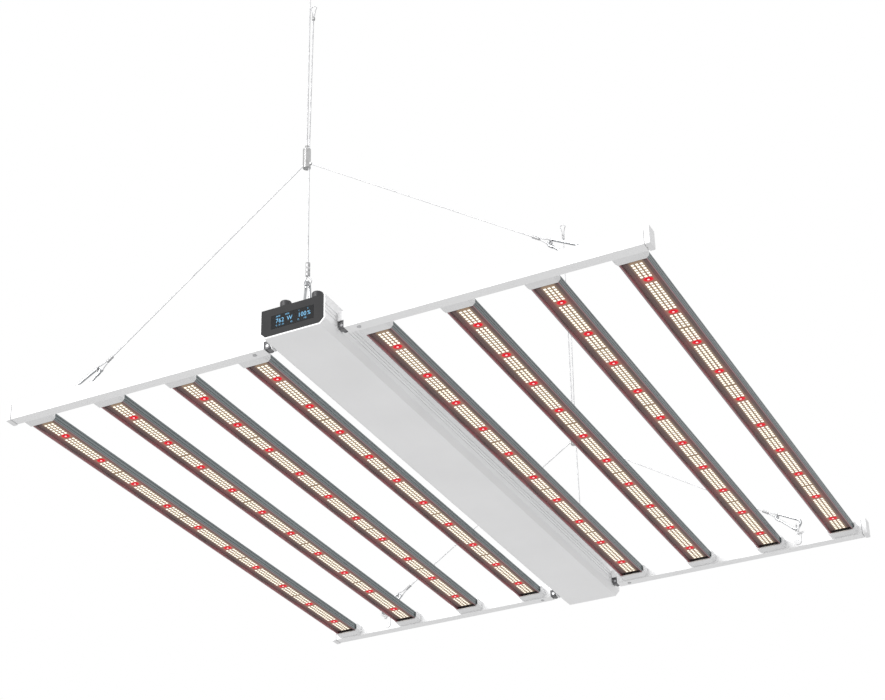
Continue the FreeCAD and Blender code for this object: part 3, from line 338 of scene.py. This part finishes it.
def arithmetic(tree, operation, first, second=None, third=None):
    """A Math node; each input is a socket or a number."""
    node = tree.nodes.new("ShaderNodeMath")
    node.operation = operation
    for number, value in enumerate((first, second, third)):
        if isinstance(value, (int, float)):
            node.inputs[number].default_value = value
        elif value is not None:
            tree.links.new(value, node.inputs[number])
    return node.outputs[0]


def mixed(tree, factor, first, second):
    """A colour between two others, each a socket or a colour."""
    node = tree.nodes.new("ShaderNodeMix")
    node.data_type = "RGBA"
    tree.links.new(factor, node.inputs["Factor"])
    for number, value in ((6, first), (7, second)):
        if isinstance(value, tuple):
            node.inputs[number].default_value = (*value, 1)
        else:
            tree.links.new(value, node.inputs[number])
    return node.outputs[2]


def ranged(tree, value, low, high, kind="SMOOTHSTEP"):
    """A value turned into 0 at low and 1 at high."""
    node = tree.nodes.new("ShaderNodeMapRange")
    node.interpolation_type = kind
    node.inputs["From Min"].default_value = low
    node.inputs["From Max"].default_value = high
    tree.links.new(value, node.inputs["Value"])
    return node.outputs["Result"]


def position(tree):
    """The Object coordinates, as one vector and as three numbers."""
    spot = tree.nodes.new("ShaderNodeTexCoord").outputs["Object"]
    parts = tree.nodes.new("ShaderNodeSeparateXYZ")
    tree.links.new(spot, parts.inputs[0])
    return spot, parts.outputs


# Hinge brackets: coated like the other sheet parts on their leaves. Where the knuckles stand out past
# the leaf they are painted dark grey, as painted shade for the dark gap round the hinge.
KNUCKLE_STARTS = 0.0538
KNUCKLE_FULL_SHADE = 0.0545
hinge_sheet = grained("hinge_bracket_coat_and_shade", (0.75, 0.75, 0.755), (0.70, 0.70, 0.705), 1700, 22, 0.4, 0.55, 0.18)
tree = hinge_sheet.node_tree
shader = tree.nodes["Principled BSDF"]
outward = arithmetic(tree, "ABSOLUTE", position(tree)[1]["X"])
knuckle_shade = ranged(tree, outward, KNUCKLE_STARTS, KNUCKLE_FULL_SHADE, "LINEAR")
coated = shader.inputs["Base Color"].links[0].from_socket
# Dark grey past the leaf: painted shade of the gap round the hinge.
tree.links.new(mixed(tree, knuckle_shade, coated, (0.15, 0.15, 0.155)), shader.inputs["Base Color"])
paint(hinge_sheet, "housing_hinge_brackets")

# Front panel and knobs: moulded in black with a fine spark-eroded grain. The panel is let into the
# housing's end, so a thin white rim shows beside it and below it.
black_mould = grained("black_panel", (0.021, 0.021, 0.022), (0.017, 0.017, 0.018), 3200, 40, 0.6, 0.75, 0.3)
black_mould.node_tree.nodes["Principled BSDF"].inputs["Specular IOR Level"].default_value = 0.25
knob_mould = grained("black_knob", (0.028, 0.028, 0.030), (0.020, 0.020, 0.022), 3600, 60, 0.38, 0.55, 0.3)
paint(black_mould, "front_panel")
paint(knob_mould, "left_knob", "right_knob", "power_gland")

# Display: a smoked window with lit figures behind it, the lamp's power and its dimming in per cent,
# and rows of small figures above and below.
LAMP_DROP = 0.770
FIGURE_LIFT = 0.0001
FIGURE_NARROW = 0.87
window_low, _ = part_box("display_window")
smoked = grained("smoked_window", (0.0025, 0.003, 0.004), (0.004, 0.005, 0.006), 900, 30, 0.26, 0.34, 0.02)
smoked.node_tree.nodes["Principled BSDF"].inputs["Specular IOR Level"].default_value = 0.08
paint(smoked, "display_window")
figures, nodes, links, shader = new_material("lit_figures", 0.5, colour=(0.05, 0.16, 0.26))
flicker = nodes.new("ShaderNodeTexNoise")
flicker.inputs["Scale"].default_value = 900
tree = figures.node_tree
links.new(position(tree)[0], flicker.inputs["Vector"])
links.new(mixed(tree, flicker.outputs["Fac"], (0.06, 0.27, 0.50), (0.13, 0.46, 0.72)), shader.inputs["Emission Color"])
shader.inputs["Emission Strength"].default_value = 0.8
written = bmesh.new()
for text, size, across, height in (
    ("762", 0.0098, -0.0266, 0.0075),
    ("W", 0.0098, -0.0088, 0.0075),
    ("100", 0.0098, 0.0090, 0.0075),
    ("%", 0.0088, 0.0238, 0.0077),
    ("08:00", 0.0034, -0.0262, 0.0168),
    ("18:00", 0.0034, -0.0120, 0.0168),
    ("1", 0.0034, 0.0098, 0.0168),
    ("2", 0.0034, 0.0240, 0.0168),
    ("0 : 10 : 25", 0.0034, -0.0262, 0.0026),
    ("50", 0.0034, -0.0030, 0.0026),
    ("75", 0.0034, 0.0080, 0.0026),
    ("100", 0.0034, 0.0180, 0.0026),
):
    data = bpy.data.curves.new("figures", "FONT")
    data.body = text
    data.size = size
    data.extrude = 0.00005
    data.space_character = 1.06
    typed = bpy.data.objects.new("figures", data)
    bpy.context.scene.collection.objects.link(typed)
    flat = as_mesh(typed)
    bpy.data.objects.remove(typed)
    flat.transform(Matrix.Diagonal((FIGURE_NARROW, 1, 1, 1)))
    flat.transform(Matrix.Rotation(math.radians(90), 4, "X"))
    flat.transform(Matrix.Translation((across, window_low.y - FIGURE_LIFT, -LAMP_DROP + height)))
    written.from_mesh(flat)
mesh = bpy.data.meshes.new("display_figures")
written.to_mesh(mesh)
written.free()
add_piece("display_figures", mesh, "housing", "display", figures)

# Inside the housing: two potted drivers, a control board and the knobs' encoders.
driver_case = grained("driver_case", (0.50, 0.51, 0.52), (0.40, 0.41, 0.42), 900, 30, 0.4, 0.6, 0.2, (1, 0.06, 1), 0.7)
green_board = grained("solder_mask", (0.025, 0.10, 0.045), (0.015, 0.07, 0.03), 1500, 120, 0.3, 0.45, 0.15)
plated_steel = grained("zinc_plated_steel", (0.55, 0.55, 0.56), (0.42, 0.42, 0.43), 2400, 160, 0.28, 0.45, 0.2,
                       metallic=0.9)
paint(driver_case, "led_drivers")
paint(green_board, "control_board")
paint(plated_steel, "knob_encoders", "hinge_pins", "left_arm_screws", "right_arm_screws")

# Hinge ends of the arms: grey cast plugs with two ears, seen in the notch under each arm.
hinge_casting = grained("grey_casting", (0.12, 0.12, 0.125), (0.09, 0.09, 0.095), 1100, 70, 0.45, 0.65, 0.5)
paint(hinge_casting, "left_arm_hinge_ends", "right_arm_hinge_ends")

# LED bars: clear anodised extrusions with a drawn grain along them. The red LEDs sit every 94.4 mm
# along each bar. Their light on the bars' inner walls and lips is painted on as emission: a painted
# glow on the inner walls near each red LED, and a painted red reflection all along the lips.
# This group gives the masks for the painted red light: how near a place is to a red LED, its height above the LED
# faces, and its distance from its bar's middle line.
glow, glow_in, glow_out = new_group(
    "red_led_glow",
    [("Long Reach", "NodeSocketFloat", 0.03), ("Side Reach", "NodeSocketFloat", 0.012)],
    [("Near", "NodeSocketFloat"), ("Level", "NodeSocketFloat"), ("Across", "NodeSocketFloat")],
)
RED_PITCH = 0.0944
BAR_FIRST = 0.098
BAR_PITCH = 0.125
BOARD_SHIFT = 0.0075


def from_nearest_red(tree):
    """How far a place is from its bar's middle line, and along it from the nearest red LED."""
    parts = position(tree)[1]
    aside = arithmetic(tree, "SUBTRACT", arithmetic(tree, "ABSOLUTE", parts["X"]), BAR_FIRST)
    aside = arithmetic(tree, "WRAP", aside, BAR_PITCH / 2, -BAR_PITCH / 2)
    along = arithmetic(tree, "SUBTRACT", parts["Y"], RED_PITCH / 2 + BOARD_SHIFT)
    along = arithmetic(tree, "WRAP", along, RED_PITCH / 2, -RED_PITCH / 2)
    return aside, along, parts["Z"]


from_bar, from_red, up = from_nearest_red(glow)
from_bar = arithmetic(glow, "ABSOLUTE", from_bar)
far_along = arithmetic(glow, "DIVIDE", from_red, glow_in.outputs["Long Reach"])
far_aside = arithmetic(glow, "DIVIDE", from_bar, glow_in.outputs["Side Reach"])
squares = arithmetic(glow, "ADD", arithmetic(glow, "MULTIPLY", far_along, far_along),
                     arithmetic(glow, "MULTIPLY", far_aside, far_aside))
glow.links.new(arithmetic(glow, "EXPONENT", arithmetic(glow, "MULTIPLY", squares, -1.0)), glow_out.inputs["Near"])
glow.links.new(arithmetic(glow, "ADD", up, LAMP_DROP), glow_out.inputs["Level"])
glow.links.new(from_bar, glow_out.inputs["Across"])

WALL_INSIDE = 0.01845
WALL_LIT_BELOW = 0.0004
LIP_LINE = 0.0196
LIP_LEVEL = -0.0030
anodised = grained("anodised_extrusion", (0.20, 0.225, 0.23), (0.15, 0.17, 0.175), 1500, 60, 0.32, 0.48, 0.25,
                   (1, 0.03, 1), 0.55)
nodes, links = anodised.node_tree.nodes, anodised.node_tree.links
lit = use_group(nodes, glow, Long_Reach=0.040, Side_Reach=0.030)
tree = anodised.node_tree
# Painted red light: a glow on the inner walls near each red LED, and a painted red reflection along the lips.
inner = arithmetic(tree, "LESS_THAN", lit.outputs["Across"], WALL_INSIDE)
low = arithmetic(tree, "LESS_THAN", lit.outputs["Level"], WALL_LIT_BELOW)
painted_red_light = arithmetic(tree, "MULTIPLY", arithmetic(tree, "MULTIPLY", inner, low), lit.outputs["Near"])
lip = arithmetic(tree, "MULTIPLY", arithmetic(tree, "LESS_THAN", lit.outputs["Across"], LIP_LINE),
                 arithmetic(tree, "LESS_THAN", lit.outputs["Level"], LIP_LEVEL))
painted_red_light = arithmetic(tree, "MAXIMUM", painted_red_light, arithmetic(tree, "MULTIPLY", lip, 0.85))
links.new(mixed(tree, painted_red_light, (0.0, 0.0, 0.0), (0.30, 0.02, 0.035)), nodes["Principled BSDF"].inputs["Emission Color"])
nodes["Principled BSDF"].inputs["Emission Strength"].default_value = 0.6
paint(anodised, "left_bar_channels", "right_bar_channels")

# LED boards: aluminium-core circuit boards in a brown-grey mask with copper tracks under it. The
# LEDs' light on the mask is painted on as emission: a painted beige glow along the white columns, and a
# painted red glow round each red LED, where the base colour is painted dark red too.
ROW_PITCH = 0.00655
COLUMN_PITCH = 0.0062
mask_brown, nodes, links, shader = new_material("led_board_mask", 0.4)
shader.inputs["Specular IOR Level"].default_value = 0.12
tree = mask_brown.node_tree
lit = use_group(nodes, glow, Long_Reach=0.0060, Side_Reach=0.0072)
haze = use_group(nodes, glow, Long_Reach=0.016, Side_Reach=0.014)
texture = use_group(nodes, grain, Colour=(0.050, 0.042, 0.042, 1), Worn_Colour=(0.034, 0.029, 0.031, 1), Fine=1800.0,
                    Broad=130.0, Stretch=(1, 0.3, 1), Least_Roughness=0.32, Most_Roughness=0.5)
tracks = nodes.new("ShaderNodeTexBrick")
tracks.inputs["Scale"].default_value = 1.0
tracks.inputs["Mortar Size"].default_value = 0.00022
tracks.inputs["Brick Width"].default_value = ROW_PITCH
tracks.inputs["Row Height"].default_value = COLUMN_PITCH / 2
tracks.inputs["Color1"].default_value = (0, 0, 0, 1)
tracks.inputs["Color2"].default_value = (0, 0, 0, 1)
tracks.inputs["Mortar"].default_value = (1, 1, 1, 1)
swap = nodes.new("ShaderNodeMapping")
swap.inputs["Rotation"].default_value = (0, 0, math.radians(90))
links.new(position(tree)[0], swap.inputs["Vector"])
links.new(swap.outputs["Vector"], tracks.inputs["Vector"])
copper = mixed(tree, tracks.outputs["Color"], texture.outputs["Colour"], (0.11, 0.085, 0.06))
links.new(texture.outputs["Roughness"], shader.inputs["Roughness"])
# Painted light on the mask: beige along the white columns, a faint red haze and a bright red pool round each red LED.
falling = ranged(tree, lit.outputs["Across"], 0.0070, 0.0125)
warm = mixed(tree, falling, (0.29, 0.20, 0.13), (0.082, 0.052, 0.050))
faint = arithmetic(tree, "MULTIPLY", haze.outputs["Near"], 0.5)
hazed = mixed(tree, faint, warm, (0.32, 0.01, 0.03))
sharp = ranged(tree, lit.outputs["Near"], 0.25, 0.60)
links.new(mixed(tree, sharp, copper, (0.06, 0.0005, 0.001)), shader.inputs["Base Color"])
links.new(mixed(tree, sharp, hazed, (0.84, 0.001, 0.020)), shader.inputs["Emission Color"])
shader.inputs["Emission Strength"].default_value = 1.0
raised = nodes.new("ShaderNodeBump")
raised.inputs["Strength"].default_value = 0.3
raised.inputs["Distance"].default_value = 0.0002
links.new(tracks.outputs["Fac"], raised.inputs["Height"])
links.new(raised.outputs["Normal"], shader.inputs["Normal"])
paint(mask_brown, "left_led_boards", "right_led_boards")

# LEDs: three columns of white packages, with room left for one larger red one every half board.
# Each is a moulded frame with a lit window, soldered on the board.
LED_BOARD = 0.1888
OUTER_ROWS_START = 0.0566


def package(width, length, window):
    """One LED package, face down at the origin: a bevelled frame and a sunk window of its own material."""
    bm = bmesh.new()
    bmesh.ops.create_cube(bm, size=1)
    bmesh.ops.scale(bm, vec=(width, length, 0.00068), verts=bm.verts)
    bmesh.ops.translate(bm, vec=(0, 0, 0.00036), verts=bm.verts)
    bmesh.ops.bevel(bm, geom=[edge for edge in bm.edges if abs((edge.verts[0].co - edge.verts[1].co).z) > 0.0001],
                    offset=0.0004, segments=1, profile=0.5, affect="EDGES", material=-1)
    face = min(bm.faces, key=lambda item: item.calc_center_median().z)
    bmesh.ops.inset_region(bm, faces=[face], thickness=window, depth=-0.00008)
    face.material_index = 1
    return bm


def repeated(bm, steps):
    """Copies of everything in the mesh, one for each offset."""
    source = bm.verts[:] + bm.edges[:] + bm.faces[:]
    for offset in steps:
        copy = bmesh.ops.duplicate(bm, geom=source)["geom"]
        bmesh.ops.translate(bm, vec=offset, verts=[item for item in copy if isinstance(item, bmesh.types.BMVert)])
    bmesh.ops.delete(bm, geom=source, context="VERTS")


led_frame = grained("led_frame", (0.58, 0.52, 0.42), (0.50, 0.44, 0.34), 2400, 300, 0.4, 0.55, 0.1)
red_frame = grained("red_led_frame", (0.30, 0.002, 0.008), (0.22, 0.001, 0.006), 2400, 300, 0.4, 0.55, 0.1)
white_window, nodes, links, shader = new_material("white_led_window", 0.3, colour=(0.5, 0.42, 0.28))
tree = white_window.node_tree
mottle = nodes.new("ShaderNodeTexNoise")
mottle.inputs["Scale"].default_value = 420
links.new(position(tree)[0], mottle.inputs["Vector"])
links.new(mixed(tree, mottle.outputs["Fac"], (1.0, 0.97, 0.90), (1.0, 0.92, 0.78)), shader.inputs["Emission Color"])
shader.inputs["Emission Strength"].default_value = 1.12

red_window, nodes, links, shader = new_material("red_led_window", 0.3, colour=(0.2, 0.001, 0.004))
shader.inputs["Specular IOR Level"].default_value = 0.1
tree = red_window.node_tree
aside, along, _ = from_nearest_red(tree)
away = arithmetic(tree, "SQRT", arithmetic(tree, "ADD", arithmetic(tree, "MULTIPLY", aside, aside),
                                           arithmetic(tree, "MULTIPLY", along, along)))
shade = ranged(tree, away, 0.0009, 0.0022)
links.new(mixed(tree, shade, (1.0, 0.80, 0.82), (0.85, 0.002, 0.022)), shader.inputs["Emission Color"])
shader.inputs["Emission Strength"].default_value = 1.2

for hand, side in (("left", -1), ("right", 1)):
    board_steps = [(0, BOARD_SHIFT + LED_BOARD * place, 0) for place in (-2, -1, 0, 1, 2)]
    bar_steps = [(side * (BAR_FIRST + BAR_PITCH * place), 0, -LAMP_DROP) for place in range(4)]
    rows = [(0, (row + 0.5) * ROW_PITCH, 0) for row in range(-6, 6)]
    rows += [(0, way * (OUTER_ROWS_START + ROW_PITCH * row), 0) for row in range(6) for way in (-1, 1)]
    columns = [(COLUMN_PITCH * place, 0, 0) for place in (-1, 0, 1)]
    reds = [(0, -RED_PITCH / 2, 0), (0, RED_PITCH / 2, 0)]
    for name, bm, sets, body, window in (
        ("white", package(0.0042, 0.0047, 0.0003), (columns, rows, board_steps, bar_steps), led_frame, white_window),
        ("red", package(0.0056, 0.0050, 0.0005), (reds, board_steps, bar_steps), red_frame, red_window),
    ):
        for steps in sets:
            repeated(bm, steps)
        mesh = bpy.data.meshes.new(f"{hand}_{name}_leds")
        bm.to_mesh(mesh)
        bm.free()
        leds = add_piece(f"{hand}_{name}_leds", mesh, f"{hand}_wing", "led_board", body)
        leds.data.materials.append(window)

# Snap hooks and their gates, the grippers and the plungers: nickel plating, brighter and smoother
# on the grippers.
hook_plate = grained("nickel_plated_hook", (0.50, 0.51, 0.52), (0.38, 0.39, 0.40), 2200, 120, 0.16, 0.34, 0.12,
                     metallic=1.0)
gripper_plate = grained("nickel_plated_gripper", (0.60, 0.60, 0.60), (0.48, 0.48, 0.48), 2600, 140, 0.18, 0.32, 0.1,
                        metallic=1.0)
paint(hook_plate, "left_leg_carabiners", "right_leg_carabiners", "centre_carabiners", "near_centre_gate",
      "far_centre_gate", "left_near_leg_gate", "left_far_leg_gate", "right_near_leg_gate", "right_far_leg_gate")
paint(gripper_plate, "rope_grippers", "near_release_plunger", "far_release_plunger")

# Room: a plain pale floor far below the lamp, a white surround and soft studio lights.
bm = bmesh.new()
bmesh.ops.create_grid(bm, x_segments=1, y_segments=1, size=30)
bmesh.ops.translate(bm, vec=(0, 0, -6), verts=bm.verts)
mesh = bpy.data.meshes.new("floor")
bm.to_mesh(mesh)
bm.free()
floor = bpy.data.objects.new("floor", mesh)
floor.data.materials.append(grained("pale_floor", (0.80, 0.80, 0.80), (0.78, 0.78, 0.78), 3, 0.5, 0.8, 0.9, 0.0))
bpy.context.scene.collection.objects.link(floor)
world = bpy.data.worlds.new("surround")
world.use_nodes = True
nodes, links = world.node_tree.nodes, world.node_tree.links
soft = nodes["Background"]
soft.inputs["Color"].default_value = (1, 1, 1, 1)
soft.inputs["Strength"].default_value = 0.85
plain = nodes.new("ShaderNodeBackground")
plain.inputs["Color"].default_value = (1, 1, 1, 1)
plain.inputs["Strength"].default_value = 1.0
seen = nodes.new("ShaderNodeLightPath")
chosen = nodes.new("ShaderNodeMixShader")
links.new(seen.outputs["Is Camera Ray"], chosen.inputs["Fac"])
links.new(soft.outputs[0], chosen.inputs[1])
links.new(plain.outputs[0], chosen.inputs[2])
links.new(chosen.outputs[0], nodes["World Output"].inputs["Surface"])
bpy.context.scene.world = world
bpy.context.scene.view_settings.view_transform = "Standard"
for name, place, size, power in (
    ("key_light", (-1.6, -5.0, 0.6), 3.0, 260),
    ("top_light", (0.5, 0.5, 3.2), 3.0, 120),
):
    data = bpy.data.lights.new(name, "AREA")
    data.shape = "DISK"
    data.size = size
    data.energy = power
    lamp = bpy.data.objects.new(name, data)
    lamp.location = place
    lamp.rotation_euler = (Vector((0, 0, -0.6)) - Vector(place)).to_track_quat("-Z", "Y").to_euler()
    bpy.context.scene.collection.objects.link(lamp)
